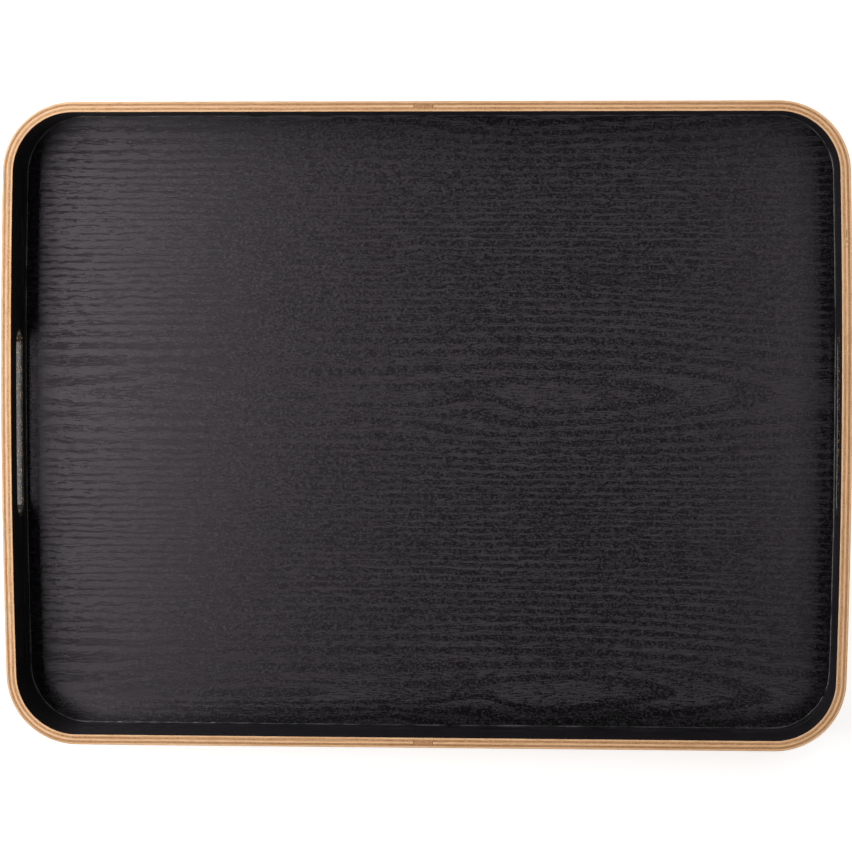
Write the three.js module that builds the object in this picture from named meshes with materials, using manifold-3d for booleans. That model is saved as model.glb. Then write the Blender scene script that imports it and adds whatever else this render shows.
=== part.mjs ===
// A serving tray in bent plywood. The rim is two like U-shaped halves, each five plies glued and
// bent together, with a spline across each joint between them. A flat panel of three plies between
// two oak veneers is held in a groove round the inside, and each short end has a hand hole.
import * as THREE from "three";
import { mergeVertices } from "three/addons/utils/BufferGeometryUtils.js";
import Module from "manifold-3d";

// Overall sizes in millimetres: X runs along the tray, Z is up and the rim stands on Z = 0
const LENGTH = 500; // over the middle of the two short ends
const WIDTH = 380; // over the long sides
const HEIGHT = 55; // from the resting edge to the top of the rim
const CORNER_RADIUS = 42; // outside of the rim, seen from above
const END_CROWN = 2; // how far the middle of a short end stands out past its corners

// Rim plies
const PLY = 1.15;
const GLUE = 0.1; // film between any two glued pieces
const OUTER_ROUND = 0.9; // arrises on the outside of the rim
const INNER_ROUND = 0.5; // arrises on the inside of the rim

// Base panel and the groove that holds it
const BASE_PLY = 1.15;
const BASE_VENEER = 0.6;
const LIP_HEIGHT = 4; // rim left standing below the panel
const GROOVE_DEPTH = 1.8;
const PANEL_PLAY = 0.2; // between the panel's edge and the bottom of its groove

// Hand holes
const HOLE_LENGTH = 112;
const HOLE_HEIGHT = 20;
const HOLE_BELOW_RIM = 17.5; // wood left above the hole to grip
const HOLE_ROUND = 0.9; // eased edge on both faces of the rim

// Splines, as tall as the rim
const SPLINE_LENGTH = 11;
const SPLINE_THICKNESS = 2;

// Facets of the curves, and how far a cutter runs past the wood
const CORNER_STEPS = 14;
const END_STEPS = 10;
const HOLE_STEPS = 12;
const ROUND_STEPS = 3;
const CUTTER_REACH = 5;

// Places that follow from the sizes
const PLIES = ["outer_face", "outer_cross", "core", "inner_cross", "inner_face"];
const PLY_PITCH = PLY + GLUE;
const WALL = PLIES.length * PLY_PITCH - GLUE;
const BASE_LAYERS = [
  ["base_under_veneer", BASE_VENEER],
  ["base_lower_ply", BASE_PLY],
  ["base_middle_ply", BASE_PLY],
  ["base_upper_ply", BASE_PLY],
  ["base_face_veneer", BASE_VENEER],
];
const PANEL = BASE_LAYERS.reduce((sum, [, thickness]) => sum + thickness + GLUE, -GLUE);
const GROOVE_LOW = LIP_HEIGHT;
const GROOVE_HIGH = LIP_HEIGHT + PANEL + 2 * GLUE;
const GROOVE_FACE = WALL - GROOVE_DEPTH;
const HOLE_CENTRE = HEIGHT - HOLE_BELOW_RIM - HOLE_HEIGHT / 2;

// Finishes: colour, and roughness of bare or lacquered wood
const FINISHES = {
  face_oak: [0xe2b488, 0.55],
  core_oak: [0xdfb083, 0.6],
  end_grain: [0xba8d60, 0.7],
  black_oak: [0x2b282b, 0.4],
};

const wasm = await Module();
wasm.setup();

// Stations along an arc, each with its point and the outward direction there
function arc(centre, radius, from, to, steps) {
  return Array.from({ length: steps + 1 }, (_, step) => {
    const angle = from + ((to - from) * step) / steps;
    const out = new THREE.Vector2(Math.cos(angle), Math.sin(angle));
    return { at: out.clone().multiplyScalar(radius).add(centre), out };
  });
}

// The outside of the right rim half seen from above, from the back joint round to the front one.
// The short end is a shallow arc that runs smoothly into the two corners.
function rimPlan() {
  const cornerY = WIDTH / 2 - CORNER_RADIUS;
  const endRadius = (cornerY ** 2 + END_CROWN ** 2) / (2 * END_CROWN);
  const endCentre = new THREE.Vector2(LENGTH / 2 - endRadius, 0);
  const cornerX = endCentre.x + Math.sqrt((endRadius - CORNER_RADIUS) ** 2 - cornerY ** 2);
  const endAngle = Math.asin(cornerY / (endRadius - CORNER_RADIUS));
  const square = Math.PI / 2;
  const joint = GLUE / 2;
  const backCorner = new THREE.Vector2(cornerX, cornerY);
  const frontCorner = new THREE.Vector2(cornerX, -cornerY);
  return [
    { at: new THREE.Vector2(joint, WIDTH / 2), out: new THREE.Vector2(0, 1) },
    ...arc(backCorner, CORNER_RADIUS, square, endAngle, CORNER_STEPS),
    ...arc(endCentre, endRadius, endAngle, -endAngle, END_STEPS).slice(1, -1),
    ...arc(frontCorner, CORNER_RADIUS, -endAngle, -square, CORNER_STEPS),
    { at: new THREE.Vector2(joint, -WIDTH / 2), out: new THREE.Vector2(0, -1) },
  ];
}

const PLAN = rimPlan();

// A closed body through like rings of points, with the given outline capping both ends.
// Seen from the first ring's end, each ring runs counter-clockwise.
function loft(rings, outline) {
  const count = outline.length;
  const last = (rings.length - 1) * count;
  const index = [];
  for (let ring = 0; ring < last; ring += count) {
    for (let point = 0; point < count; point++) {
      const a = ring + point;
      const b = ring + ((point + 1) % count);
      index.push(a, a + count, b + count, a, b + count, b);
    }
  }
  for (const [a, b, c] of THREE.ShapeUtils.triangulateShape(outline, [])) {
    index.push(a, b, c, last + a, last + c, last + b);
  }
  const geometry = new THREE.BufferGeometry().setFromPoints(rings.flat());
  geometry.setIndex(index);
  return geometry;
}

// A section, drawn as depth in from the outside of the rim against height, carried along the plan
function sweep(section) {
  const rings = PLAN.map(({ at, out }) =>
    section.map(
      ({ x: depth, y: height }) =>
        new THREE.Vector3(at.x - out.x * depth, at.y - out.y * depth, height),
    ),
  );
  return loft(rings, section);
}

// One corner of a section: a point, or a quarter round that starts at the given quarter turn
function corner(depth, height, quarter, radius = 0) {
  if (radius === 0) {
    return [new THREE.Vector2(depth, height)];
  }
  const from = (quarter * Math.PI) / 2;
  const middle = from + Math.PI / 4;
  const centreX = depth - radius * Math.sign(Math.cos(middle));
  const centreY = height - radius * Math.sign(Math.sin(middle));
  return new THREE.ArcCurve(centreX, centreY, radius, from, from + Math.PI / 2).getPoints(ROUND_STEPS);
}

// A ply's section between two heights, with any rounds named by the arris they ease
function plySection(ply, low, high, rounds = {}) {
  const outside = PLIES.indexOf(ply) * PLY_PITCH;
  const inside = outside + PLY;
  return [
    ...corner(outside, low, 2, rounds.lowOutside),
    ...corner(inside, low, 3, rounds.lowInside),
    ...corner(inside, high, 0, rounds.highInside),
    ...corner(outside, high, 1, rounds.highOutside),
  ];
}

// The inner cross ply, with the bottom of the panel groove cut into its inner side
function groovedSection() {
  const section = plySection("inner_cross", 0, HEIGHT);
  const inside = section[1].x;
  const groove = [
    new THREE.Vector2(inside, GROOVE_LOW),
    new THREE.Vector2(GROOVE_FACE, GROOVE_LOW),
    new THREE.Vector2(GROOVE_FACE, GROOVE_HIGH),
    new THREE.Vector2(inside, GROOVE_HIGH),
  ];
  return [...section.slice(0, 2), ...groove, ...section.slice(2)];
}

// The outline of a hand hole with its round ends, grown by the given amount
function holeOutline(growth) {
  const radius = HOLE_HEIGHT / 2 + growth;
  const reach = (HOLE_LENGTH - HOLE_HEIGHT) / 2;
  const shape = new THREE.Shape();
  shape.absarc(reach, 0, radius, -Math.PI / 2, Math.PI / 2);
  shape.absarc(-reach, 0, radius, Math.PI / 2, 1.5 * Math.PI);
  return shape.extractPoints(HOLE_STEPS).shape;
}

// The space of the right hand hole: through the rim, opening out in a round at each face
function holeCutter() {
  const stations = [[CUTTER_REACH, HOLE_ROUND]];
  for (let step = 0; step <= ROUND_STEPS; step++) {
    const turn = (step / ROUND_STEPS) * (Math.PI / 2);
    stations.push([-HOLE_ROUND * (1 - Math.cos(turn)), HOLE_ROUND * (1 - Math.sin(turn))]);
  }
  const mirrored = stations.map(([depth, growth]) => [-WALL - depth, growth]).reverse();
  const rings = [...stations, ...mirrored].map(([depth, growth]) =>
    holeOutline(growth).map(({ x, y }) => new THREE.Vector3(LENGTH / 2 + depth, x, HOLE_CENTRE + y)),
  );
  return loft(rings, holeOutline(0));
}

// A spline, or with a clearance the slot for one, on the given side of the tray
function splineShape(side, clearance, height) {
  const shape = new THREE.BoxGeometry(
    SPLINE_LENGTH + 2 * clearance,
    SPLINE_THICKNESS + 2 * clearance,
    height,
  );
  return shape.translate(0, side * (WIDTH / 2 - WALL / 2), HEIGHT / 2);
}

// The outline of the base panel, which follows the rim inside its groove
function panelOutline() {
  const depth = GROOVE_FACE + PANEL_PLAY;
  const half = PLAN.slice(1, -1).map(({ at, out }) => at.clone().addScaledVector(out, -depth));
  const otherHalf = half.map((point) => point.clone().negate());
  return new THREE.Shape([...half, ...otherHalf]);
}

function toSolid(geometry) {
  const bare = geometry.clone();
  bare.deleteAttribute("normal");
  bare.deleteAttribute("uv");
  const merged = mergeVertices(bare);
  return new wasm.Manifold(
    new wasm.Mesh({
      numProp: 3,
      vertProperties: merged.getAttribute("position").array,
      triVerts: Uint32Array.from(merged.index.array),
    }),
  );
}

function cut(geometry, ...cutters) {
  const left = cutters.reduce((solid, cutter) => solid.subtract(toSolid(cutter)), toSolid(geometry));
  const { vertProperties, triVerts } = left.getMesh();
  const result = new THREE.BufferGeometry();
  result.setAttribute("position", new THREE.BufferAttribute(vertProperties, 3));
  result.setIndex(new THREE.BufferAttribute(triVerts, 1));
  return result;
}

function piece(name, geometry, finish) {
  const [color, roughness] = FINISHES[finish];
  const flat = geometry.index ? geometry.toNonIndexed() : geometry;
  flat.computeVertexNormals();
  const mesh = new THREE.Mesh(flat, new THREE.MeshStandardMaterial({ color, roughness, metalness: 0 }));
  mesh.name = name;
  return mesh;
}

// The six plies of one rim half, made as the right one. The inner face ply is in two, because the
// groove cuts right through it.
function rimHalf(side) {
  const outerRounds = { lowOutside: OUTER_ROUND, highOutside: OUTER_ROUND };
  const hole = holeCutter();
  const slots = [1, -1].map((end) => splineShape(end, GLUE, HEIGHT + 2 * CUTTER_REACH));
  const outerFace = sweep(plySection("outer_face", 0, HEIGHT, outerRounds));
  const outerCross = sweep(plySection("outer_cross", 0, HEIGHT));
  const core = sweep(plySection("core", 0, HEIGHT));
  const innerCross = sweep(groovedSection());
  const innerFace = sweep(plySection("inner_face", GROOVE_HIGH, HEIGHT, { highInside: INNER_ROUND }));
  const lip = sweep(plySection("inner_face", 0, GROOVE_LOW, { lowInside: INNER_ROUND }));
  const half = new THREE.Group();
  half.add(
    piece(`${side}_outer_face_ply`, cut(outerFace, hole), "face_oak"),
    piece(`${side}_outer_cross_ply`, cut(outerCross, hole, ...slots), "end_grain"),
    piece(`${side}_core_ply`, cut(core, hole, ...slots), "core_oak"),
    piece(`${side}_inner_cross_ply`, cut(innerCross, hole, ...slots), "end_grain"),
    piece(`${side}_inner_face_ply`, cut(innerFace, hole), "black_oak"),
    piece(`${side}_lip_ply`, lip, "face_oak"),
  );
  return half;
}

// The base panel, layer on layer from its seat on the lip
function basePanel() {
  const panel = new THREE.Group();
  let height = GROOVE_LOW + GLUE;
  for (const [name, thickness] of BASE_LAYERS) {
    const sheet = new THREE.ExtrudeGeometry(panelOutline(), { depth: thickness, bevelEnabled: false });
    const finishes = { base_face_veneer: "black_oak", base_middle_ply: "end_grain" };
    const layer = piece(name, sheet, finishes[name] ?? "face_oak");
    layer.position.z = height;
    panel.add(layer);
    height += thickness + GLUE;
  }
  return panel;
}

const rightHalf = rimHalf("right");
const leftHalf = rimHalf("left");
leftHalf.rotation.z = Math.PI;

const tray = new THREE.Group();
tray.name = "tray";
tray.add(rightHalf, leftHalf, basePanel());
tray.add(piece("back_spline", splineShape(1, 0, HEIGHT), "end_grain"));
tray.add(piece("front_spline", splineShape(-1, 0, HEIGHT), "end_grain"));

export default tray;
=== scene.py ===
"""Looks of the oak tray: bent five-ply rim, black oak floor, lacquer bead and a white studio stage."""

import math
from types import SimpleNamespace

import bmesh
import bpy
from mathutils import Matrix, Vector


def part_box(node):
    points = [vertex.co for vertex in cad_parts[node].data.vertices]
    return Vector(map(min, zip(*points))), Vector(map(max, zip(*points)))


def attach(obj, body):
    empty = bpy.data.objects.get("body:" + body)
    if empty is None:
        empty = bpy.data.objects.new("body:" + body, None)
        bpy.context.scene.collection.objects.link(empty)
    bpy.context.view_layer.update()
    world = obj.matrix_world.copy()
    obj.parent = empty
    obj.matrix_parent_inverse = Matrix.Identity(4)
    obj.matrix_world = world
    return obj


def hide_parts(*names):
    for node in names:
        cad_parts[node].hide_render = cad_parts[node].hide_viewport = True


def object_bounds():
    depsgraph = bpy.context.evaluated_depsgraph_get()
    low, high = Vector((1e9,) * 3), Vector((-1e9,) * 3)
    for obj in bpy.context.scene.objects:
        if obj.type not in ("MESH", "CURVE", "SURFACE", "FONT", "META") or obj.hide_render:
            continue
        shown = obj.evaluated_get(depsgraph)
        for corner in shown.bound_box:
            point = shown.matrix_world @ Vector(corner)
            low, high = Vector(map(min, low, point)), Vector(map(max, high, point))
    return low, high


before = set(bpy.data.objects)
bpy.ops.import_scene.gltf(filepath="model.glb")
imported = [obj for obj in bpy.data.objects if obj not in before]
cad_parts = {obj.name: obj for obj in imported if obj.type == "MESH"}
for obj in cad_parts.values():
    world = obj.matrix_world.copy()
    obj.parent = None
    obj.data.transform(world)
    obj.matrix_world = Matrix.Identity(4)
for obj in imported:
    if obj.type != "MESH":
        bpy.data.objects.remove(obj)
CAD_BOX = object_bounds()

bl_info = {
    "name": "Oak tray",
    "version": (1, 0, 0),
    "blender": (4, 5, 0),
    "location": "3D View > Sidebar > Tray",
    "description": "Models and finishes a bent plywood tray around its packed solids",
    "category": "Object",
}

MM = 0.001
BODY = "root"
LENGTH, WIDTH, HEIGHT = CAD_BOX[1] - CAD_BOX[0]
PLIES = ("outer_face", "outer_cross", "core", "inner_cross", "inner_face", "lip")
CROSS_PLIES = ("outer_cross", "inner_cross")
PLY_PITCH = LENGTH / 2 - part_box("right_outer_cross_ply")[1].x
FLOOR_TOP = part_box("base_face_veneer")[1].z
PANEL_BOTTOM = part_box("base_under_veneer")[0].z
PANEL_DEPTH = LENGTH / 2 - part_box("base_face_veneer")[1].x
SPLINE_LOW, SPLINE_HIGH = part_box("back_spline")
SLOTS = {
    "face": "face_oak", "black": "black_oak", "long": "core_oak",
    "end": "end_grain", "outer_end": "end_grain",
}

# How far a cutter reaches past what it cuts, how close two points are to be one, and to lie on one face.
SPARE = 2 * MM
MERGE = 0.001 * MM
NEAR = 20 * MERGE

# Steps to each bend and round, and where shading turns crisp.
CORNER_STEPS = 40
END_STEPS = 24
ROUND_STEPS = 4
HOLE_STEPS = 20
BEAD_STEPS = 90
SMOOTH_ANGLE = math.radians(35)

# A face of a rim ply whose normal rises more than this is an edge of the ply, not a broad side.
EDGE_RISE = 0.6

# Voids in the right core's upper edge: middle and length of each, along the right end.
VOIDS = ((113 * MM, 5 * MM), (108.4 * MM, 1.6 * MM), (105.5 * MM, 0.6 * MM))
VOID_DEPTH = 3 * MM
VOID_WIDTH = 0.4 * MM

SPLINE_ROUND = 0.1 * MM
SPLINE_ROUND_STEPS = 2

# The bead's hollow face, as a share of its reach, and the lumps that it set with.
BEAD_HOLLOW = 0.95
BEAD_PROFILE = 0.08
BEAD_ROUND_STEPS = 6
BEAD_LUMP = 5 * MM
BEAD_LUMP_MIDDLE = 0.45


def hex_colour(code):
    """Turn an sRGB hex colour into the linear values that Blender's sockets hold."""
    shares = [int(code[i:i + 2], 16) / 255 for i in (1, 3, 5)]
    return tuple(c / 12.92 if c <= 0.04045 else ((c + 0.055) / 1.055) ** 2.4 for c in shares)


def size_of(name, description, default):
    """Describe one size as a property with a length unit."""
    return bpy.props.FloatProperty(
        name=name, description=description, default=default, min=0, unit="LENGTH", subtype="DISTANCE"
    )


def colour_of(name, description, code):
    """Describe one colour as a property."""
    return bpy.props.FloatVectorProperty(
        name=name, description=description, default=hex_colour(code), min=0, max=1, size=3, subtype="COLOR"
    )


def level_of(name, description, default):
    """Describe one light level as a property."""
    return bpy.props.FloatProperty(name=name, description=description, default=default, min=0)


class TraySizes(bpy.types.PropertyGroup):
    """Sizes that the solids' boxes don't give."""

    corner_radius: size_of("Corner radius", "Outer radius of the four bent corners", 42 * MM)
    end_crown: size_of("End crown", "How far the short ends bow out between their corners", 2 * MM)
    ply: size_of("Ply", "Thickness of each ply of the rim", 1.15 * MM)
    seam: size_of("Seam", "Hairline that shows between two glued pieces", 0.03 * MM)
    outer_round: size_of("Outer round", "Sanded round on the rim's outer arrises", 0.55 * MM)
    inner_round: size_of("Inner round", "Sanded round on the rim's inner arrises", 0.5 * MM)
    groove_depth: size_of("Groove depth", "How deep the groove for the base runs into the rim", 1.8 * MM)
    hole_length: size_of("Hand hole length", "Length of each round-ended hand hole", 112 * MM)
    hole_height: size_of("Hand hole height", "Height of each hand hole", 20 * MM)
    hole_below_rim: size_of("Hand hole below rim", "Wood left above each hand hole", 17.5 * MM)
    hole_round: size_of("Hand hole round", "Eased edge of each hand hole", 0.9 * MM)
    spline_gap: size_of("Spline gap", "Open joint at each end of a spline", 0.25 * MM)
    bead: size_of("Lacquer bead", "Reach of the lacquer that gathers where floor and wall meet", 0.8 * MM)


class TrayColours(bpy.types.PropertyGroup):
    """Colours of the woods and finishes."""

    face_light: colour_of("Face oak, light", "Latewood of the natural oak faces", "#D9AB7B")
    face_dark: colour_of("Face oak, dark", "Pores of the natural oak faces", "#A8774A")
    edge_light: colour_of("Long edge, light", "Ply edges with the grain along the rim", "#E2B68A")
    edge_dark: colour_of("Long edge, dark", "Streaks in those edges", "#CA996B")
    end_light: colour_of("End grain, light", "Ply edges that show end grain", "#C09266")
    # The outer cross ply's edge gets a darker end grain colour all round the rim.
    outer_end_light: colour_of("Outer end grain, light", "Outer cross ply's edge, dark with dust", "#AF845B")
    end_dark: colour_of("End grain, dark", "Pores in the end grain", "#95673B")
    black_flat: colour_of("Black oak, flat", "Stained wood between the pores", "#020202")
    black_fibre: colour_of("Black oak, fibre", "Fibres that show through the stain", "#2D2B2D")
    black_pore: colour_of("Black oak, pore", "Open pores that the lacquer leaves dull", "#2B282B")
    black_sheen: colour_of("Black oak, sheen", "Tint of the light that the stained wood mirrors", "#FFF4FF")
    # The bead's lighter grey is a painted highlight, in patches along the foot of the walls.
    bead: colour_of("Lacquer bead", "Dust that clings to the lacquer at the foot of the walls", "#3E3B3E")
    fleck: colour_of("Fleck", "Bare wood that shows through the stain in the hand holes", "#C79A5C")
    sweep: colour_of("Sweep", "Paper that the tray lies on", "#E4E4E4")


class TrayStage(bpy.types.PropertyGroup):
    """Light levels, where 1 lights a white sheet to plain white."""

    key: level_of("Left softbox", "Radiance of the large softbox above the left side", 5.75)
    fill: level_of("Right softbox", "Radiance of the softbox above the right side", 2.7)
    zenith: level_of("Zenith", "Radiance of the room straight above", 0.03)
    wall: level_of("Walls", "Radiance of the room's walls", 0.26)
    horizon: level_of("Horizon", "Radiance of the room near the horizon", 0.43)
    far_side: level_of("Far side", "Share of the room's light that comes from the right", 0.4)
    ends: level_of("Front and back", "Radiance that the walls in front and behind add", 0.43)
    glow: level_of("Sweep glow", "Light that the paper adds to its colour for the camera", 0.6)


def rim_plan(sizes):
    """Work out the outer plan of the rim: straight sides, round corners and slightly bowed ends."""
    corner_y = WIDTH / 2 - sizes.corner_radius
    end_radius = (corner_y ** 2 + sizes.end_crown ** 2) / (2 * sizes.end_crown)
    end_x = LENGTH / 2 - end_radius
    reach = end_radius - sizes.corner_radius
    end_angle = math.asin(corner_y / reach)
    corner_x = end_x + math.sqrt(reach ** 2 - corner_y ** 2)
    corner_angle = math.pi / 2 - end_angle
    return SimpleNamespace(
        corner=Vector((corner_x, corner_y, 0)),
        corner_radius=sizes.corner_radius,
        corner_angle=corner_angle,
        end=Vector((end_x, 0, 0)),
        end_radius=end_radius,
        end_angle=end_angle,
        quarter=corner_x + sizes.corner_radius * corner_angle + end_radius * end_angle,
    )


def rim_place(plan, point):
    """Give a point of the right half as length along the rim, height, and depth under its outer face."""
    side = Vector((point.x, abs(point.y), 0))
    from_corner = side - plan.corner
    from_end = side - plan.end
    turned = math.atan2(from_corner.x, from_corner.y)
    if side.x <= plan.corner.x:
        along = side.x
        depth = WIDTH / 2 - side.y
    elif turned < plan.corner_angle:
        along = plan.corner.x + plan.corner_radius * turned
        depth = plan.corner_radius - from_corner.length
    else:
        along = plan.quarter - plan.end_radius * math.atan2(from_end.y, from_end.x)
        depth = plan.end_radius - from_end.length
    if point.y < 0:
        along = 2 * plan.quarter - along
    return Vector((along, point.z, depth))


def ply_depths(ply, sizes):
    """Give a rim ply's outer and inner depth under the rim's outer face, grown to a hairline seam."""
    depth = LENGTH / 2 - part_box(f"right_{ply}_ply")[1].x
    grown = (PLY_PITCH - sizes.ply - sizes.seam) / 2
    outer = depth if ply == "outer_face" else depth - grown
    inner = depth + sizes.ply if ply in ("inner_face", "lip") else depth + sizes.ply + grown
    return outer, inner


def wall_depth(sizes):
    """Give the depth of the rim's inner face."""
    return ply_depths("inner_face", sizes)[1]


def ply_heights(ply, sizes):
    """Give a rim ply's lower and upper edge: the inner face and the lip stop at the base panel."""
    if ply == "inner_face":
        return FLOOR_TOP + sizes.seam, HEIGHT
    if ply == "lip":
        return 0, PANEL_BOTTOM - sizes.seam
    return 0, HEIGHT


def hole_middle(sizes):
    """Give the height of the hand holes' middle."""
    return HEIGHT - sizes.hole_below_rim - sizes.hole_height / 2


def select(kind, test):
    """Select the vertices, edges or faces of the piece in edit mode whose middle passes the test."""
    bpy.ops.mesh.select_mode(type=kind)
    bpy.ops.mesh.select_all(action="DESELECT")
    mesh = bmesh.from_edit_mesh(bpy.context.edit_object.data)
    elements = {"VERT": mesh.verts, "EDGE": mesh.edges, "FACE": mesh.faces}[kind]
    for element in elements:
        corners = [element] if kind == "VERT" else list(element.verts)
        middle = sum((corner.co for corner in corners), Vector()) / len(corners)
        element.select_set(test(middle))
    mesh.select_flush_mode()
    bmesh.update_edit_mesh(bpy.context.edit_object.data)


def start_section(name, x, across, up):
    """Add a plane that stands across the X axis at x and fills the given span in Y and in Z."""
    bpy.ops.object.select_all(action="DESELECT")
    bpy.ops.mesh.primitive_plane_add(size=1, enter_editmode=True)
    piece = bpy.context.object
    piece.name = name
    piece.data.name = name
    origin = (0, 0, 0)
    bpy.ops.transform.rotate(value=math.pi / 2, orient_axis="Y", center_override=origin)
    bpy.ops.transform.resize(value=(1, across[1] - across[0], up[1] - up[0]), center_override=origin)
    bpy.ops.transform.translate(value=(x, sum(across) / 2, sum(up) / 2))
    return piece


def start_point(name, place):
    """Add a plane and draw it together into one vertex, the start of an outline."""
    piece = start_section(name, 0, (-SPARE, SPARE), (-SPARE, SPARE))
    bpy.ops.mesh.merge(type="CENTER")
    bpy.ops.transform.translate(value=place)
    return piece


def pull(x, y=0, z=0):
    """Extrude what is selected along a line."""
    bpy.ops.mesh.extrude_region_move(TRANSFORM_OT_translate={"value": (x, y, z)})


def carry_round_end(plan, side):
    """Spin what is selected round one short end: corner, bowed end, corner."""
    turns = (
        (side * plan.corner.x, side * plan.corner.y, plan.corner_angle, CORNER_STEPS),
        (side * plan.end.x, 0, 2 * plan.end_angle, END_STEPS),
        (side * plan.corner.x, -side * plan.corner.y, plan.corner_angle, CORNER_STEPS),
    )
    for x, y, angle, steps in turns:
        bpy.ops.mesh.spin(steps=steps, angle=angle, center=(x, y, 0), axis=(0, 0, 1))


def carry_round_tray(plan, steps=1):
    """Carry what is selected from the middle of the back side once round the tray."""
    for side in (1, -1):
        for _ in range(steps):
            pull(side * plan.corner.x / steps)
        carry_round_end(plan, side)
        for _ in range(steps):
            pull(-side * plan.corner.x / steps)


def close_mesh():
    """Merge the doubled vertices, turn all faces outwards and leave edit mode."""
    bpy.ops.mesh.select_mode(type="VERT")
    bpy.ops.mesh.select_all(action="SELECT")
    bpy.ops.mesh.remove_doubles(threshold=MERGE)
    bpy.ops.mesh.normals_make_consistent(inside=False)
    bpy.ops.object.mode_set(mode="OBJECT")


def apply_modifier(piece, kind, **settings):
    """Add a modifier with its settings and apply it."""
    change = piece.modifiers.new(kind.title(), kind)
    for name, value in settings.items():
        setattr(change, name, value)
    bpy.context.view_layer.objects.active = piece
    bpy.ops.object.modifier_apply(modifier=change.name)


def cut(piece, cutter):
    """Cut one piece's volume out of another."""
    apply_modifier(piece, "BOOLEAN", object=cutter, operation="DIFFERENCE", solver="EXACT")


def pick(piece):
    """Select one piece alone and make it active."""
    bpy.ops.object.select_all(action="DESELECT")
    piece.select_set(True)
    bpy.context.view_layer.objects.active = piece


def smooth(piece):
    """Shade a piece smooth, with crisp arrises and with flats that stay flat beside their rounds."""
    pick(piece)
    bpy.ops.object.shade_smooth_by_angle(angle=SMOOTH_ANGLE)
    apply_modifier(piece, "WEIGHTED_NORMAL", keep_sharp=True)


def paint(piece, finishes, choose):
    """Give a piece its finishes, and each face the one that its middle and normal call for."""
    names = list(finishes)
    for name in names:
        piece.data.materials.append(finishes[name])
    for face in piece.data.polygons:
        face.material_index = names.index(choose(face))


def seat(piece, slot, *nodes):
    """Let a piece ride with the tray and stand for its solids."""
    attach(piece, BODY)
    if nodes:
        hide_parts(*nodes)


def add(tree, kind, inputs=(), out=0, **settings):
    """Add a shader node with its settings, set or link its inputs, and give one of its outputs."""
    made = tree.nodes.new("ShaderNode" + kind)
    for name, value in settings.items():
        setattr(made, name, value)
    pairs = inputs.items() if isinstance(inputs, dict) else enumerate(inputs)
    for key, value in pairs:
        if isinstance(value, bpy.types.NodeSocket):
            tree.links.new(value, made.inputs[key])
        else:
            made.inputs[key].default_value = value
    return made.outputs[out]


def start_material(name):
    """Make an empty node material."""
    material = bpy.data.materials.new(name)
    material.use_nodes = True
    material.node_tree.nodes.clear()
    return material


def add_output(tree, surface):
    """Connect a finished surface to the material's output."""
    output = tree.nodes.new("ShaderNodeOutputMaterial")
    tree.links.new(surface, output.inputs["Surface"])


def add_lacquered(tree, tone, roughness, inputs=()):
    """Finish a material as a lacquered or sealed surface, with any further inputs."""
    sockets = {"Base Color": tone, "Roughness": roughness, "IOR": LACQUER_IOR, **dict(inputs)}
    add_output(tree, add(tree, "BsdfPrincipled", sockets))


def rgba(values):
    """Add the alpha that a colour socket holds."""
    return (*values, 1)


def mix_colours(tree, share, first, second):
    """Mix two colours, each of them plain values or another node's output."""
    ends = [end if isinstance(end, bpy.types.NodeSocket) else rgba(end) for end in (first, second)]
    return add(tree, "Mix", {0: share, 6: ends[0], 7: ends[1]}, 2, data_type="RGBA")


def ramp(tree, value, span, ends=(0, 1), soft=False):
    """Carry a value from one span over to another, straight or with soft ends."""
    kind = "SMOOTHSTEP" if soft else "LINEAR"
    return add(tree, "MapRange", [value, *span, *ends], interpolation_type=kind)


def millimetres(tree, source, shift=0):
    """Give the coordinates that a grain follows, in millimetres: the object's own or the rim's."""
    if source == "rim":
        metres = add(tree, "Attribute", out="Vector", attribute_name="rim_place")
    else:
        metres = add(tree, "TexCoord", out="Object")
    scale = (1 / MM, 1 / MM, 1 / MM)
    return add(tree, "VectorMath", [metres, scale, (0, 0, shift)], operation="MULTIPLY_ADD")


def cloud(tree, place, cell, detail=2.0):
    """Draw soft noise whose cells have the given size in millimetres along each axis."""
    cells = add(tree, "VectorMath", [place, [1 / size for size in cell]], operation="MULTIPLY")
    return add(tree, "TexNoise", {"Vector": cells, "Scale": 1, "Detail": detail})


def ring_count(tree, place, figure):
    """Count the rings out from the eye, and tell how steeply they come up there.

    The rings widen towards the middle of the leaf, and swellings in the log bend them.
    """
    across = add(tree, "SeparateXYZ", [place], 1)
    offset = add(tree, "Math", [across, figure.middle], operation="SUBTRACT")
    squared = add(tree, "Math", [offset, offset, figure.spread ** 2], operation="MULTIPLY_ADD")
    radius = add(tree, "Math", [squared, 0.5], operation="POWER")
    count = add(tree, "Math", [radius, 1 / figure.spacing, figure.start], operation="MULTIPLY_ADD")
    for rings, at, reach in figure.swells:
        scale = (1 / reach[0], 1 / reach[1], 0)
        centre = (-at[0] / reach[0], -at[1] / reach[1], 0)
        near = add(tree, "VectorMath", [place, scale, centre], operation="MULTIPLY_ADD")
        distance = add(tree, "VectorMath", [near, near], "Value", operation="DOT_PRODUCT")
        bell = add(tree, "Math", [math.exp(-1), distance], operation="POWER")
        count = add(tree, "Math", [bell, rings, count], operation="MULTIPLY_ADD")
    slant = add(tree, "Math", [offset, radius], operation="DIVIDE")
    return count, add(tree, "Math", [slant], operation="ABSOLUTE")


# Earlywood, as shares of a ring: where it is full, how much it fills, what a steep ring loses of that,
# and how far it takes to fade.
EARLYWOOD_FULL = 0.07
EARLYWOOD_SHARE = 0.56
EARLYWOOD_LOSS = 0.33
EARLYWOOD_FADE = 0.3

# Pores, with cells in millimetres: patches where they crowd, their ragged edges, and the span of noise
# over which one opens.
PATCH_CELL = (70, 25, 50)
PATCH_SPAN = (0.25, 0.75)
PATCH_CROWDING = (0.7, 1.3)
RAGGED_CELL = (1.4, 0.8, 1.4)
RAGGED_SHARE = 0.3
PORE_SPAN = (0.79, 0.85)


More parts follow.
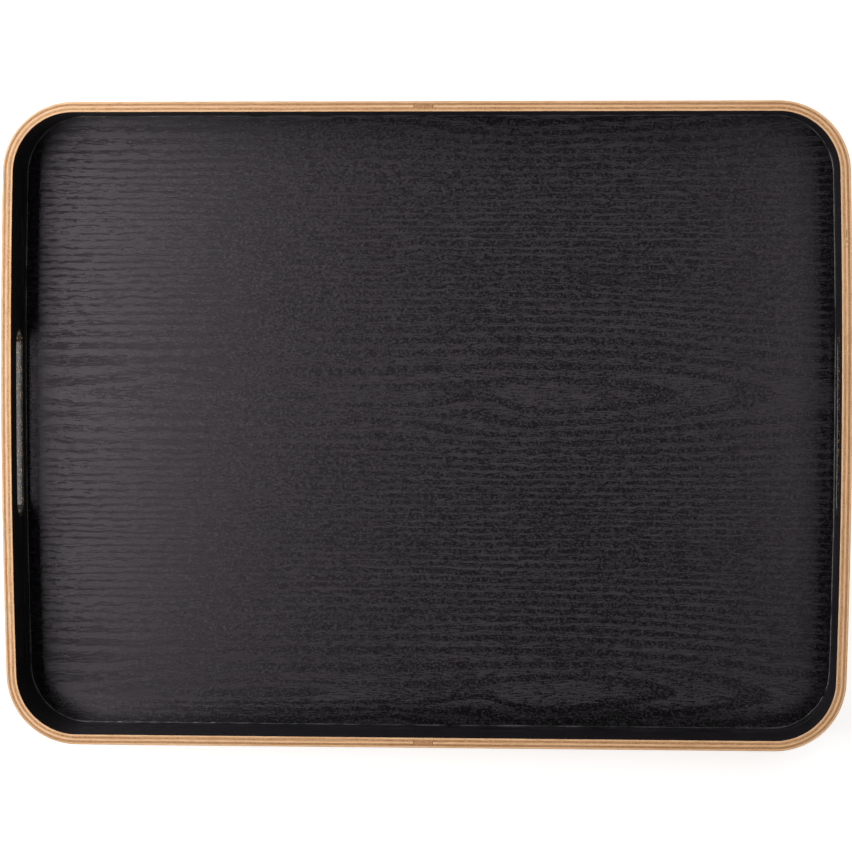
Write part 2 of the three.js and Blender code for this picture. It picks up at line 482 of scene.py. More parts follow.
def oak_figure(tree, place, figure):
    """Draw flat-sliced oak: rings round an eye, and long pores that crowd into each ring's earlywood."""
    parts = add(tree, "SeparateXYZ", [place]).node.outputs
    wander = cloud(tree, place, figure.wander_cell, 1.0)
    jitter = cloud(tree, place, figure.jitter_cell, 1.0)
    shift = -figure.axis - (figure.wander + figure.jitter) / 2
    shifted = add(tree, "Math", [parts[1], shift], operation="ADD")
    wandered = add(tree, "Math", [wander, figure.wander, shifted], operation="MULTIPLY_ADD")
    across = add(tree, "Math", [jitter, figure.jitter, wandered], operation="MULTIPLY_ADD")
    leaf = add(tree, "Math", [across, figure.leaf / 2, -figure.leaf / 2], operation="WRAP")
    count, slant = ring_count(tree, add(tree, "CombineXYZ", [parts[0], leaf, 0]), figure)
    phase = add(tree, "Math", [count], operation="FRACT")
    opening = ramp(tree, phase, (0, EARLYWOOD_FULL), soft=True)
    fading = add(tree, "Math", [slant, -EARLYWOOD_LOSS, EARLYWOOD_SHARE], operation="MULTIPLY_ADD")
    faded = add(tree, "Math", [fading, EARLYWOOD_FADE], operation="ADD")
    closing = ramp(tree, phase, (fading, faded), (1, 0), soft=True)
    band = add(tree, "Math", [opening, closing], operation="MULTIPLY")
    patches = cloud(tree, place, PATCH_CELL, 1.0)
    crowding = ramp(tree, patches, PATCH_SPAN, [share * figure.crowding for share in PATCH_CROWDING])
    grain = add(tree, "CombineXYZ", [parts[0], across, parts[2]])
    vessels = cloud(tree, grain, (figure.pore[0], figure.pore[1], figure.pore[0]), 3.0)
    ragged = cloud(tree, place, RAGGED_CELL, 1.0)
    frayed = add(tree, "Math", [ragged, RAGGED_SHARE, vessels], operation="MULTIPLY_ADD")
    crowded = add(tree, "Math", [band, crowding, frayed], operation="MULTIPLY_ADD")
    pores = ramp(tree, crowded, PORE_SPAN, soft=True)
    return band, pores


# Figures of the veneers, in millimetres and in rings. A swell adds rings at a place, over a reach along
# and across. The pores are drawn wider than real ones, which would be too fine to show.
FLOOR_FIGURE = SimpleNamespace(
    axis=16.9, leaf=180, middle=3.75, spread=53, spacing=3.39, start=-15,
    swells=(
        (-1.1, (103, 0), (90, 16)),
        (0.9, (31, -7), (23, 9)),
        (-0.9, (52, -18), (67, 23)),
        (-2.0, (-114, -2), (118, 8)),
        (0.55, (-19, -18), (32, 6)),
        (-0.75, (-159, 11), (21, 7)),
        (-0.4, (156, -35), (50, 18)),
        (1.7, (259, 45), (105, 53)),
    ),
    wander_cell=(110, 30, 50), wander=4, jitter_cell=(16, 5, 50), jitter=2.5,
    pore=(7, 0.42), crowding=0.15, bare=1, seed=150,
)
WALL_FIGURE = SimpleNamespace(
    axis=0, leaf=400, middle=20, spread=17, spacing=3.2, start=0,
    swells=(
        (-5.0, (170, 22), (210, 30)),
        (-3.5, (470, 30), (130, 26)),
        (-6.0, (860, 16), (240, 34)),
        (-3.0, (1180, 32), (120, 24)),
        (-5.5, (1530, 22), (200, 30)),
    ),
    wander_cell=(140, 30, 50), wander=8, jitter_cell=(18, 6, 50), jitter=2.5,
    pore=(7, 0.42), crowding=0.15, bare=0.2, seed=550,
)
UNDER_FIGURE = SimpleNamespace(
    axis=-30, leaf=190, middle=0, spread=45, spacing=3.6, start=0,
    swells=((-2.2, (-60, 0), (110, 18)), (1.2, (60, 8), (40, 12)), (-1.6, (170, -4), (80, 14))),
    wander_cell=(120, 30, 50), wander=6, jitter_cell=(18, 6, 50), jitter=3,
    pore=(7, 0.42), crowding=0.15, seed=350,
)


# Where the floor is painted darker along the walls, a painted shade, and where its lacquer ran thick, in
# millimetres: out past this corner, moved towards the front.
SHADED_POOL_CORNER = (208, 148, 0)
SHADED_POOL_SHIFT = (0, -7, 0)
SHADED_POOL_REACH = (17, 36)

# Finishes: cells of a pattern in millimetres, spans of its noise, and roughness from 0 to 1. Fibres and
# mottle are drawn coarser than real ones, which would be too fine to show.
LACQUER_IOR = 1.5
# Along the floor's walls: the roughness of the pooled lacquer, and the share of pores filled there, which
# drops them out of the colour as painted shade.
BLACK_OAK = SimpleNamespace(
    fibre_cell=(1.3, 1.0, 1.3), fibre_shows=(0.48, 0.78), fibre_height=-0.6, satin_span=(0.3, 0.7),
    satin=(0.305, 0.46), pooled_and_shaded=0.26, pore=0.8, filled=0.85, relief=0.05 * MM,
)
NATURAL_OAK = SimpleNamespace(
    drift_cell=(150, 13, 50), drift_span=(0.3, 0.7), drift_shade=0.25, ring_shade=0.27, pore_shade=0.55,
    flat=0.4, pore=0.7, relief=0.04 * MM,
)
PLY_EDGE = SimpleNamespace(
    drift_cell=(60, 60, 1.2), drift=0.5, shade_span=(0.58, 0.96), light=0.5, dark=0.65, relief=0.03 * MM,
)
STAINED_EDGE = SimpleNamespace(fleck_cell=(0.9, 0.9, 0.35), fleck_span=(0.65, 0.7), roughness=0.23)
# The bead's lighter grey patches paint a highlight.
BLACK_LACQUER = SimpleNamespace(
    wave_cell=(9, 9, 9), relief=0.3 * MM, glint_cell=(14, 14, 14), glint_span=(0.4, 0.66), roughness=0.25,
)

# Cells of the mottle on sanded edges: along the rim, up and through it, or in X, Y and Z.
LONG_GRAIN_CELL = (7, 20, 0.45)
END_GRAIN_CELL = (0.7, 12, 0.7)
SPLINE_CELL = (0.8, 0.8, 12)
BASE_LONG_CELL = (9, 0.6, 0.6)
BASE_CROSS_CELL = (0.6, 9, 0.6)

# The paper's glow grows to plain white between these distances from the tray's middle, in metres.
PAPER = SimpleNamespace(glow_reach=(0.4, 1.4), roughness=0.9, specular=0.1)


def shaded_lacquer_pool(tree, place):
    """Tell where the floor is painted darker along the walls, a painted shade, and where its lacquer ran
    thick, most of all towards the front.
    """
    flat = add(tree, "VectorMath", [place, (1, 1, 0), SHADED_POOL_SHIFT], operation="MULTIPLY_ADD")
    far = add(tree, "VectorMath", [flat], operation="ABSOLUTE")
    past = add(tree, "VectorMath", [far, SHADED_POOL_CORNER], operation="SUBTRACT")
    beyond = add(tree, "VectorMath", [past, (0, 0, 0)], operation="MAXIMUM")
    reach = add(tree, "VectorMath", [beyond], "Value", operation="LENGTH")
    return ramp(tree, reach, SHADED_POOL_REACH, soft=True)


def black_oak(name, colours, source, figure):
    """Oak veneer, stained black under thin satin lacquer.

    The lacquer bridges the flats and mirrors the room softly. The open pores stay rough, so they scatter
    light from all round and look darker than the flats under a softbox and lighter than them elsewhere.
    Along the walls of the floor the lacquer ran thick. There it fills most pores, which drop out of the
    colour and paint the floor darker, a painted shade at the foot of the walls, and it mirrors more sharply.
    """
    material = start_material(name)
    tree = material.node_tree
    place = millimetres(tree, source, figure.seed)
    open_pores = oak_figure(tree, place, figure)[1]
    pooled_and_shaded = shaded_lacquer_pool(tree, place) if source == "object" else 0
    # Filled pores drop out of the colour: painted shade along the walls.
    unfilled_and_unshaded = add(tree, "Math", [pooled_and_shaded, -BLACK_OAK.filled, 1], operation="MULTIPLY_ADD")
    pores = add(tree, "Math", [open_pores, unfilled_and_unshaded], operation="MULTIPLY")
    fibres = cloud(tree, place, BLACK_OAK.fibre_cell, 1.0)
    shown = ramp(tree, fibres, BLACK_OAK.fibre_shows, (0, figure.bare))
    stained = add(tree, "Math", [pores, figure.bare], operation="MULTIPLY")
    flat = mix_colours(tree, shown, colours.black_flat, colours.black_fibre)
    tone = mix_colours(tree, stained, flat, colours.black_pore)
    satin = ramp(tree, fibres, BLACK_OAK.satin_span, BLACK_OAK.satin)
    flowed = ramp(tree, pooled_and_shaded, (0, 1), (satin, BLACK_OAK.pooled_and_shaded))
    roughness = ramp(tree, pores, (0, 1), (flowed, BLACK_OAK.pore))
    height = add(tree, "Math", [fibres, BLACK_OAK.fibre_height, pores], operation="MULTIPLY_ADD")
    relief = add(tree, "Bump", {"Strength": 1, "Distance": BLACK_OAK.relief, "Height": height}, invert=True)
    add_lacquered(tree, tone, roughness, {"Normal": relief, "Specular Tint": rgba(colours.black_sheen)})
    return material


def natural_oak(name, colours, source, figure):
    """Oak veneer under clear satin lacquer: pale flats and fine brown pores along the rings."""
    material = start_material(name)
    tree = material.node_tree
    place = millimetres(tree, source, figure.seed)
    band, pores = oak_figure(tree, place, figure)
    drift = cloud(tree, place, NATURAL_OAK.drift_cell, 2.0)
    ground = ramp(tree, drift, NATURAL_OAK.drift_span, (0, NATURAL_OAK.drift_shade))
    shade = add(tree, "Math", [band, NATURAL_OAK.ring_shade, ground], operation="MULTIPLY_ADD")
    shaded = [pores, NATURAL_OAK.pore_shade, shade]
    darker = add(tree, "Math", shaded, operation="MULTIPLY_ADD", use_clamp=True)
    tone = mix_colours(tree, darker, colours.face_light, colours.face_dark)
    roughness = ramp(tree, pores, (0, 1), (NATURAL_OAK.flat, NATURAL_OAK.pore))
    relief = add(tree, "Bump", {"Strength": 1, "Distance": NATURAL_OAK.relief, "Height": pores}, invert=True)
    add_lacquered(tree, tone, roughness, {"Normal": relief})
    return material


def ply_edge(name, tones, source, cell):
    """Sanded and sealed ply edge: streaks along the rim on long grain, fine mottle on end grain."""
    material = start_material(name)
    tree = material.node_tree
    place = millimetres(tree, source)
    mottle = cloud(tree, place, cell, 3.0)
    drift = cloud(tree, place, PLY_EDGE.drift_cell, 1.0)
    uneven = add(tree, "Math", [drift, PLY_EDGE.drift, mottle], operation="MULTIPLY_ADD")
    shade = ramp(tree, uneven, PLY_EDGE.shade_span, soft=True)
    tone = mix_colours(tree, shade, *tones)
    roughness = ramp(tree, shade, (0, 1), (PLY_EDGE.light, PLY_EDGE.dark))
    relief = add(tree, "Bump", {"Strength": 1, "Distance": PLY_EDGE.relief, "Height": mottle}, invert=True)
    add_lacquered(tree, tone, roughness, {"Normal": relief})
    return material


def stained_edge(name, colours):
    """Ply edge stained black in the hand holes, with flecks of bare wood where the stain didn't take."""
    material = start_material(name)
    tree = material.node_tree
    place = millimetres(tree, "rim")
    speckle = cloud(tree, place, STAINED_EDGE.fleck_cell, 1.0)
    flecks = ramp(tree, speckle, STAINED_EDGE.fleck_span)
    tone = mix_colours(tree, flecks, colours.black_flat, colours.fleck)
    add_lacquered(tree, tone, STAINED_EDGE.roughness)
    return material


def black_lacquer(name, colours):
    """Lacquer that ran together in the corner and set: glossy and a little wavy, with lighter grey patches
    that paint a highlight along its line.
    """
    material = start_material(name)
    tree = material.node_tree
    place = millimetres(tree, "object")
    waves = cloud(tree, place, BLACK_LACQUER.wave_cell, 2.0)
    relief = add(tree, "Bump", {"Strength": 1, "Distance": BLACK_LACQUER.relief, "Height": waves})
    # Lighter grey patches: a painted highlight on the bead.
    dust = cloud(tree, place, BLACK_LACQUER.glint_cell, 3.0)
    glint_patches = ramp(tree, dust, BLACK_LACQUER.glint_span)
    tone = mix_colours(tree, glint_patches, colours.black_flat, colours.bead)
    add_lacquered(tree, tone, BLACK_LACQUER.roughness, {"Normal": relief})
    return material


def white_sweep(name, colours, glow):
    """Matt white paper: it takes the tray's shadow, and glows to plain white away from the tray."""
    material = start_material(name)
    tree = material.node_tree
    ray = add(tree, "LightPath").node.outputs
    seen = add(tree, "Math", [ray["Is Camera Ray"], ray["Is Glossy Ray"]], operation="MAXIMUM")
    shown = add(tree, "Math", [seen, ray["Is Transmission Ray"]], operation="MAXIMUM")
    away = add(tree, "VectorMath", [add(tree, "TexCoord", out="Object")], "Value", operation="LENGTH")
    level = ramp(tree, away, PAPER.glow_reach, (glow, 1), soft=True)
    light = add(tree, "Math", [shown, level], operation="MULTIPLY")
    paper = add(
        tree, "BsdfPrincipled",
        {
            "Base Color": rgba(colours.sweep), "Roughness": PAPER.roughness,
            "Specular IOR Level": PAPER.specular,
            "Emission Color": (1, 1, 1, 1), "Emission Strength": light,
        },
    )
    behind = add(tree, "NewGeometry", out="Backfacing")
    clear = add(tree, "BsdfTransparent")
    add_output(tree, add(tree, "MixShader", [behind, paper, clear]))
    return material


def make_rim_ply(ply, sizes, plan):
    """Model one ply of the right half: a section carried round the end."""
    outer, inner = ply_depths(ply, sizes)
    low, high = ply_heights(ply, sizes)
    start = SPLINE_HIGH.x + sizes.spline_gap if ply == "core" else sizes.seam / 2
    back = WIDTH / 2
    piece = start_section(f"right_rim_{ply}", start, (back - inner, back - outer), (low, high))
    ease_section(ply, sizes, back - outer, back - inner)
    if ply == "inner_cross":
        groove_section(sizes, back)
    bpy.ops.mesh.select_all(action="SELECT")
    pull(plan.corner.x - start)
    carry_round_end(plan, 1)
    pull(start - plan.corner.x)
    close_mesh()
    return piece


def ease_section(ply, sizes, outer_y, inner_y):
    """Round the arrises that the maker's sandpaper reaches, on the section before it is carried round."""
    if ply == "outer_face":
        select("VERT", lambda at: at.y > outer_y - MERGE)
        bpy.ops.mesh.bevel(offset=sizes.outer_round, segments=ROUND_STEPS, affect="VERTICES")
    if ply == "inner_face":
        select("VERT", lambda at: at.y < inner_y + MERGE and at.z > HEIGHT - MERGE)
        bpy.ops.mesh.bevel(offset=sizes.inner_round, segments=ROUND_STEPS, affect="VERTICES")
    if ply == "lip":
        select("VERT", lambda at: at.y < inner_y + MERGE and at.z < MERGE)
        bpy.ops.mesh.bevel(offset=sizes.inner_round, segments=ROUND_STEPS, affect="VERTICES")


def groove_section(sizes, back):
    """Notch the inner cross ply's section where the base panel runs into it."""
    groove_y = back - wall_depth(sizes) + sizes.groove_depth
    levels = (PANEL_BOTTOM - sizes.seam, FLOOR_TOP + sizes.seam)
    for height in levels:
        bpy.ops.mesh.select_all(action="SELECT")
        bpy.ops.mesh.bisect(plane_co=(0, 0, height), plane_no=(0, 0, 1))
    bpy.ops.mesh.select_all(action="SELECT")
    bpy.ops.mesh.bisect(plane_co=(0, groove_y, 0), plane_no=(0, 1, 0))
    select("FACE", lambda at: levels[0] < at.z < levels[1] and at.y < groove_y)
    bpy.ops.mesh.delete(type="FACE")


def make_hole_cutter(sizes):
    """Model the round-ended bar that cuts the right hand hole."""
    middle = hole_middle(sizes)
    half = sizes.hole_length / 2
    start = LENGTH / 2 - wall_depth(sizes) - SPARE
    up = (middle - sizes.hole_height / 2, middle + sizes.hole_height / 2)
    cutter = start_section("hole_cutter", start, (-half, half), up)
    bpy.ops.mesh.bevel(
        offset=sizes.hole_height / 2 - MERGE, segments=HOLE_STEPS, affect="VERTICES", clamp_overlap=False
    )
    bpy.ops.mesh.select_all(action="SELECT")
    pull(wall_depth(sizes) + 2 * SPARE)
    close_mesh()
    return cutter


def make_slot_cutter(sizes, side):
    """Model the bar that lets a spline into the cross plies on the back or front side."""
    across = sorted((side * (SPLINE_LOW.y - sizes.seam), side * (SPLINE_HIGH.y + sizes.seam)))
    cutter = start_section("slot_cutter", -SPARE, across, (-SPARE, HEIGHT + SPARE))
    pull(SPLINE_HIGH.x + sizes.spline_gap + SPARE)
    close_mesh()
    return cutter


def ease_hole(piece, ply, sizes, plan):
    """Round the hand hole's edge on the face that hands reach."""
    face_depth = {"outer_face": 0, "inner_face": wall_depth(sizes)}[ply]
    middle = hole_middle(sizes)

    def on_edge(at):
        inside = abs(at.y) < sizes.hole_length / 2 + MERGE
        level = abs(at.z - middle) < sizes.hole_height / 2 + MERGE
        near = at.x > plan.corner.x + plan.corner_radius / 2
        return near and inside and level and abs(rim_place(plan, at).z - face_depth) < NEAR

    pick(piece)
    bpy.ops.object.mode_set(mode="EDIT")
    select("EDGE", on_edge)
    bpy.ops.mesh.bevel(offset=sizes.hole_round, segments=ROUND_STEPS, affect="EDGES")
    close_mesh()


def open_voids(piece, plan):
    """Open the small voids that sanding uncovered in the core's upper edge."""
    radius = plan.end_radius - VOID_DEPTH
    for middle, length in VOIDS:
        x = plan.end.x + math.sqrt(radius ** 2 - middle ** 2)
        across = (middle - length / 2, middle + length / 2)
        cutter = start_section("void_cutter", x - VOID_WIDTH / 2, across, (HEIGHT - SPARE, HEIGHT + SPARE))
        pull(VOID_WIDTH)
        close_mesh()
        cut(piece, cutter)
        bpy.data.objects.remove(cutter)


def turn_to_left(piece, name):
    """Copy a right-hand ply and turn the copy half round, for the left half."""
    pick(piece)
    bpy.ops.object.duplicate(linked=False)
    copy = bpy.context.object
    copy.name = name
    copy.data.name = name
    bpy.ops.object.mode_set(mode="EDIT")
    bpy.ops.mesh.select_all(action="SELECT")
    bpy.ops.transform.rotate(value=math.pi, orient_axis="Z", center_override=(0, 0, 0))
    bpy.ops.object.mode_set(mode="OBJECT")
    return copy


def mark_rim_place(piece, plan, side):
    """Store where each vertex lies on the rim, for grain that follows the bend."""
    stored = piece.data.attributes.new("rim_place", "FLOAT_VECTOR", "POINT")
    shift = Vector((0 if side > 0 else 2 * plan.quarter, 0, 0))
    for vertex, entry in zip(piece.data.vertices, stored.data):
        on_right = Vector((side * vertex.co.x, side * vertex.co.y, vertex.co.z))
        entry.vector = rim_place(plan, on_right) + shift


def rim_finishes(colours):
    """Make the finishes that the rim's plies share."""
    long_tones = (colours.edge_light, colours.edge_dark)
    end_tones = (colours.end_light, colours.end_dark)
    outer_end_tones = (colours.outer_end_light, colours.end_dark)
    return {
        "face": natural_oak("satin_lacquered_oak_rim", colours, "rim", WALL_FIGURE),
        "black": black_oak("black_stained_oak_rim", colours, "rim", WALL_FIGURE),
        "hole": stained_edge("black_stained_ply_edge", colours),
        "long": ply_edge("sanded_ply_edge_long_grain", long_tones, "rim", LONG_GRAIN_CELL),
        "end": ply_edge("sanded_ply_edge_end_grain", end_tones, "rim", END_GRAIN_CELL),
        "outer_end": ply_edge("sanded_ply_edge_darker_end_grain", outer_end_tones, "rim", END_GRAIN_CELL),
    }


def finish_rim_ply(piece, ply, side, sizes, plan, finishes):
    """Shade, paint and seat one rim ply."""
    outer, inner = ply_depths(ply, sizes)
    edge = {"outer_cross": "outer_end", "inner_cross": "end"}.get(ply, "long")
    broad = {"outer_face": "face", "lip": "face", "inner_face": "black"}.get(ply, edge)
    middle = hole_middle(sizes)
    hole_reach = (sizes.hole_length / 2 + SPARE, sizes.hole_height / 2 + SPARE)

    def choose(face):
        at = face.center
        depth = rim_place(plan, Vector((side * at.x, side * at.y, at.z))).z
        in_hole = abs(at.y) < hole_reach[0] and abs(at.z - middle) < hole_reach[1]
        inside_ply = outer + NEAR < depth < inner - NEAR
        if in_hole and inside_ply and abs(at.x) > plan.corner.x:
            return "hole"
        return broad if abs(face.normal.z) < EDGE_RISE else edge

    smooth(piece)
    mark_rim_place(piece, plan, side)
    used = {name: finishes[name] for name in dict.fromkeys((broad, edge, "hole"))}
    paint(piece, used, choose)
    node = f"{'right' if side > 0 else 'left'}_{ply}_ply"
    seat(piece, SLOTS[broad], node)


class TRAY_OT_rim(bpy.types.Operator):
    """Model the twelve bent plies of the rim, six to each half"""

    bl_idname = "tray.rim"
    bl_label = "Rim plies"

    def execute(self, context):
        sizes = context.scene.tray_sizes
        plan = rim_plan(sizes)
        finishes = rim_finishes(context.scene.tray_colours)
        hole_cutter = make_hole_cutter(sizes)
        slot_cutters = [make_slot_cutter(sizes, side) for side in (1, -1)]
        for ply in PLIES:
            piece = make_rim_ply(ply, sizes, plan)
            if ply != "lip":
                cut(piece, hole_cutter)
            if ply in CROSS_PLIES:
                for cutter in slot_cutters:
                    cut(piece, cutter)
            if ply in ("outer_face", "inner_face"):
                ease_hole(piece, ply, sizes, plan)
            copy = turn_to_left(piece, f"left_rim_{ply}")
            if ply == "core":
                open_voids(piece, plan)
            finish_rim_ply(piece, ply, 1, sizes, plan, finishes)
            finish_rim_ply(copy, ply, -1, sizes, plan, finishes)
        for cutter in (hole_cutter, *slot_cutters):
            bpy.data.objects.remove(cutter)
        return {"FINISHED"}


class TRAY_OT_splines(bpy.types.Operator):
    """Model the two splines that key the halves of the rim together"""

    bl_idname = "tray.splines"
    bl_label = "Splines"

    def execute(self, context):
        sizes = context.scene.tray_sizes
        colours = context.scene.tray_colours
        tones = (colours.end_light, colours.end_dark)
        finish = ply_edge("sanded_spline_end_grain", tones, "object", SPLINE_CELL)
        for side, name in ((1, "back_spline"), (-1, "front_spline")):
            across = sorted((side * SPLINE_LOW.y, side * SPLINE_HIGH.y))
            piece = start_section(f"{name}_key", SPLINE_LOW.x, across, (SPLINE_LOW.z, SPLINE_HIGH.z))
            pull(SPLINE_HIGH.x - SPLINE_LOW.x)
            close_mesh()
            apply_modifier(piece, "BEVEL", width=SPLINE_ROUND, segments=SPLINE_ROUND_STEPS)
            smooth(piece)
            paint(piece, {"end": finish}, lambda face: "end")
            seat(piece, "end_grain", name)
        return {"FINISHED"}


def make_panel(name, node, plan):
    """Model one veneer of the base panel: an outline round the tray, filled and given its thickness."""
    low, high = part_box(node)
    piece = start_point(name, (0, WIDTH / 2 - PANEL_DEPTH, low.z))
    bpy.ops.mesh.select_mode(type="VERT")
    carry_round_tray(plan)
    bpy.ops.mesh.select_all(action="SELECT")
    bpy.ops.mesh.remove_doubles(threshold=MERGE)
    bpy.ops.mesh.edge_face_add()
    pull(0, 0, high.z - low.z)
    close_mesh()
    return piece


class TRAY_OT_base(bpy.types.Operator):
    """Model the base panel's two veneers and finish its hidden plies"""

    bl_idname = "tray.base"
    bl_label = "Base panel"

    def execute(self, context):
        colours = context.scene.tray_colours
        plan = rim_plan(context.scene.tray_sizes)
        floor_finish = black_oak("black_stained_oak_floor", colours, "object", FLOOR_FIGURE)
        under_finish = natural_oak("satin_lacquered_oak_underside", colours, "object", UNDER_FIGURE)
        veneers = (
            ("base_floor", "base_face_veneer", "black_oak", floor_finish),
            ("base_underside", "base_under_veneer", "face_oak", under_finish),
        )
        for name, node, slot, finish in veneers:
            piece = make_panel(name, node, plan)
            smooth(piece)
            paint(piece, {slot: finish}, lambda face: slot)
            seat(piece, slot, node)
        long_tones = (colours.edge_light, colours.edge_dark)
        cross_tones = (colours.end_light, colours.end_dark)
        long_grain = ply_edge("base_core_long_grain", long_tones, "object", BASE_LONG_CELL)
        cross_grain = ply_edge("base_core_cross_grain", cross_tones, "object", BASE_CROSS_CELL)
        hidden = {
            "base_lower_ply": long_grain,
            "base_middle_ply": cross_grain,
            "base_upper_ply": long_grain,
        }
        for node, finish in hidden.items():
            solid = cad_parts[node]
            solid.data.materials.clear()
            solid.data.materials.append(finish)
        return {"FINISHED"}


class TRAY_OT_bead(bpy.types.Operator):
    """Model the lacquer that gathers where floor and wall meet"""

    bl_idname = "tray.bead"
    bl_label = "Lacquer bead"

    def execute(self, context):
        sizes = context.scene.tray_sizes
        plan = rim_plan(sizes)
        wall = WIDTH / 2 - wall_depth(sizes) + sizes.seam / 2
        floor = FLOOR_TOP - sizes.seam / 2
        piece = start_section("lacquer_bead", 0, (wall - sizes.bead, wall), (floor, floor + sizes.bead))
        select("VERT", lambda at: at.y < wall - sizes.bead / 2 and at.z > floor + sizes.bead / 2)
        bpy.ops.mesh.bevel(
            offset=BEAD_HOLLOW * sizes.bead, segments=BEAD_ROUND_STEPS, profile=BEAD_PROFILE,
            affect="VERTICES", clamp_overlap=False,
        )
        bpy.ops.mesh.select_mode(type="EDGE")
        bpy.ops.mesh.select_all(action="SELECT")
        bpy.ops.mesh.delete(type="ONLY_FACE")
        bpy.ops.mesh.select_all(action="SELECT")
        carry_round_tray(plan, BEAD_STEPS)
        close_mesh()
        lumps = bpy.data.textures.new("bead_lumps", "CLOUDS")
        lumps.noise_scale = BEAD_LUMP
        apply_modifier(piece, "DISPLACE", texture=lumps, strength=sizes.bead, mid_level=BEAD_LUMP_MIDDLE)
        smooth(piece)
        finish = black_lacquer("black_lacquer", context.scene.tray_colours)
        paint(piece, {"bead": finish}, lambda face: "bead")
        seat(piece, "black_oak")
        return {"FINISHED"}


# The stage: places and sizes in metres, the camera's turn in degrees, its lens and sensor in millimetres.
CAMERA_PLACE = (0.10194, 0.10335, 1.82678)
CAMERA_TURN = (-3.3213, 3.2428, 0.0356)
CAMERA_LENS = 128.116
SENSOR = 36
SWEEP_SIZE = 12
SWEEP_DROP = 0.1 * MM
LEFT_SOFTBOX = SimpleNamespace(place=(-0.943, 0.2275, 0.95), width=1.115, depth=1.145)
RIGHT_SOFTBOX = SimpleNamespace(place=(0.42, 0.29, 0.54), width=0.19, depth=1.08)

# The room, by direction: rises from 0 at the horizon to 1 straight up, the side that is lighter, and how
# far a direction turns to the front or back before the end walls light up.
WALL_RISE = (0.37, 0.89)
HORIZON_RISE = (0.05, 0.3)
LIGHT_SIDE = (-0.95, 0.3, 0)
END_TURN = (0.4, 0.8)


def lay_sweep(colours, glow):
    """Lay the paper just under the tray."""
    bpy.ops.object.select_all(action="DESELECT")
    bpy.ops.mesh.primitive_plane_add(size=SWEEP_SIZE, location=(0, 0, 0))
    sweep = bpy.context.object
    sweep.name = "sweep"
    bpy.ops.object.mode_set(mode="EDIT")
    bpy.ops.transform.translate(value=(0, 0, -SWEEP_DROP))
    bpy.ops.object.mode_set(mode="OBJECT")
    sweep.data.materials.append(white_sweep("matt_white_paper", colours, glow))


def add_softbox(name, softbox, radiance):
    """Hang a level softbox that shines straight down with the given radiance."""
    bpy.ops.object.light_add(type="AREA", location=softbox.place, rotation=(0, 0, 0))
    lamp = bpy.context.object
    lamp.name = name
    lamp.data.shape = "RECTANGLE"
    lamp.data.size = softbox.width
    lamp.data.size_y = softbox.depth
    lamp.data.energy = radiance * math.pi * softbox.width * softbox.depth
    lamp.visible_camera = False


def add_room(scene, levels):
    """Put a dim room round the stage: lighter on the left, in front and behind, and white to the camera."""
    world = bpy.data.worlds.new("studio_room")
    scene.world = world
    world.use_nodes = True
    tree = world.node_tree
    tree.nodes.clear()
    direction = add(tree, "TexCoord", out="Generated")
    parts = add(tree, "SeparateXYZ", [direction]).node.outputs
    above = ramp(tree, parts[2], WALL_RISE, (levels.wall, levels.zenith), soft=True)
    low = ramp(tree, parts[2], HORIZON_RISE, (levels.horizon - levels.wall, 0), soft=True)
    radiance = add(tree, "Math", [above, low], operation="ADD")
    side = add(tree, "VectorMath", [direction, LIGHT_SIDE], "Value", operation="DOT_PRODUCT")
    share = ramp(tree, side, (-1, 1), (levels.far_side, 1))
    shared = add(tree, "Math", [radiance, share], operation="MULTIPLY")
    facing = add(tree, "Math", [parts[1]], operation="ABSOLUTE")
    ends = ramp(tree, facing, END_TURN, (0, levels.ends), soft=True)
    strength = add(tree, "Math", [shared, ends], operation="ADD")
    seen = add(tree, "LightPath", out="Is Camera Ray")
    shown = add(tree, "Math", [strength, seen], operation="MAXIMUM")
    room = add(tree, "Background", {"Color": (1, 1, 1, 1), "Strength": shown})
    output = tree.nodes.new("ShaderNodeOutputWorld")
    tree.links.new(room, output.inputs["Surface"])


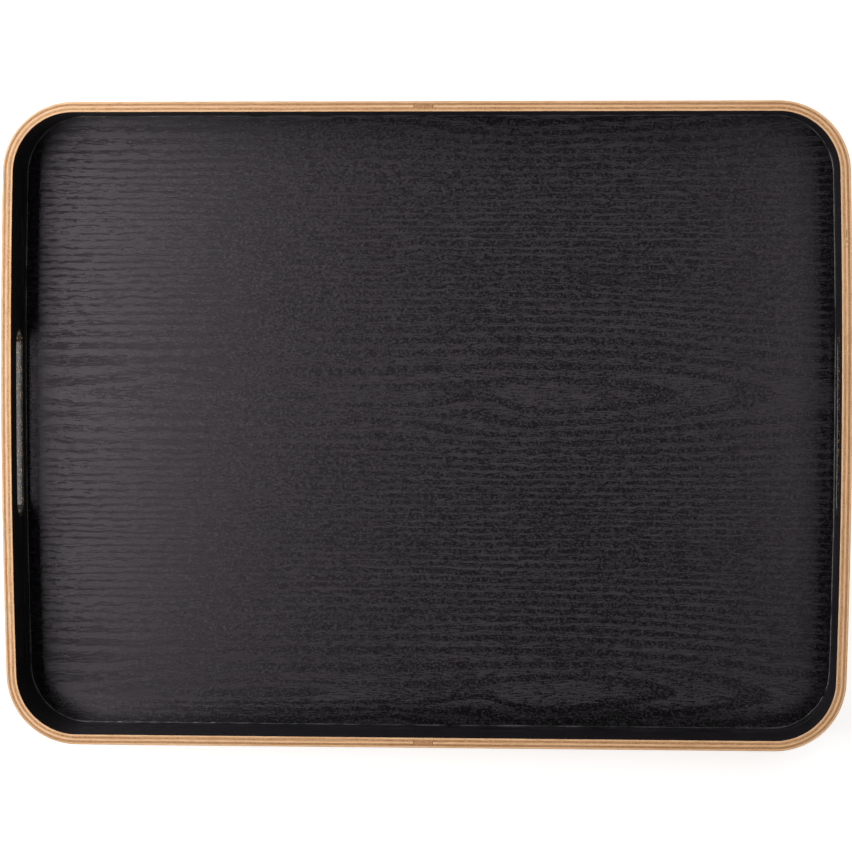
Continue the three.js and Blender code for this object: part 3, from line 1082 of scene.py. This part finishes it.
def add_camera(scene):
    """Place the camera where the photograph was taken from."""
    turn = [math.radians(angle) for angle in CAMERA_TURN]
    bpy.ops.object.camera_add(location=CAMERA_PLACE, rotation=turn)
    camera = bpy.context.object
    camera.name = "photo_camera"
    camera.data.sensor_fit = "HORIZONTAL"
    camera.data.sensor_width = SENSOR
    camera.data.lens = CAMERA_LENS
    scene.camera = camera


class TRAY_OT_stage(bpy.types.Operator):
    """Lay the white sweep, hang the softboxes and place the camera"""

    bl_idname = "tray.stage"
    bl_label = "Studio stage"

    def execute(self, context):
        scene = context.scene
        levels = scene.tray_stage
        lay_sweep(scene.tray_colours, levels.glow)
        add_softbox("left_softbox", LEFT_SOFTBOX, levels.key)
        add_softbox("right_softbox", RIGHT_SOFTBOX, levels.fill)
        add_room(scene, levels)
        add_camera(scene)
        scene.view_settings.view_transform = "Standard"
        return {"FINISHED"}


class TRAY_PT_panel(bpy.types.Panel):
    """List the tray's steps, sizes, colours and light levels"""

    bl_idname = "TRAY_PT_panel"
    bl_label = "Oak tray"
    bl_space_type = "VIEW_3D"
    bl_region_type = "UI"
    bl_category = "Tray"

    def draw(self, context):
        for step in OPERATORS:
            self.layout.operator(step.bl_idname)
        scene = context.scene
        for group in (scene.tray_sizes, scene.tray_colours, scene.tray_stage):
            box = self.layout.box()
            for name in group.__annotations__:
                box.prop(group, name)


GROUPS = {"tray_sizes": TraySizes, "tray_colours": TrayColours, "tray_stage": TrayStage}
OPERATORS = (TRAY_OT_rim, TRAY_OT_splines, TRAY_OT_base, TRAY_OT_bead, TRAY_OT_stage)


def register():
    """Register the classes and hang the property groups on the scene."""
    for made in (*GROUPS.values(), *OPERATORS, TRAY_PT_panel):
        bpy.utils.register_class(made)
    for name, group in GROUPS.items():
        setattr(bpy.types.Scene, name, bpy.props.PointerProperty(type=group))


def unregister():
    """Take the property groups and classes away again."""
    for name in GROUPS:
        delattr(bpy.types.Scene, name)
    for made in (TRAY_PT_panel, *reversed(OPERATORS), *GROUPS.values()):
        bpy.utils.unregister_class(made)


def main():
    """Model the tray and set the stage."""
    register()
    bpy.ops.tray.rim()
    bpy.ops.tray.splines()
    bpy.ops.tray.base()
    bpy.ops.tray.bead()
    bpy.ops.tray.stage()


if __name__ == "__main__":
    main()
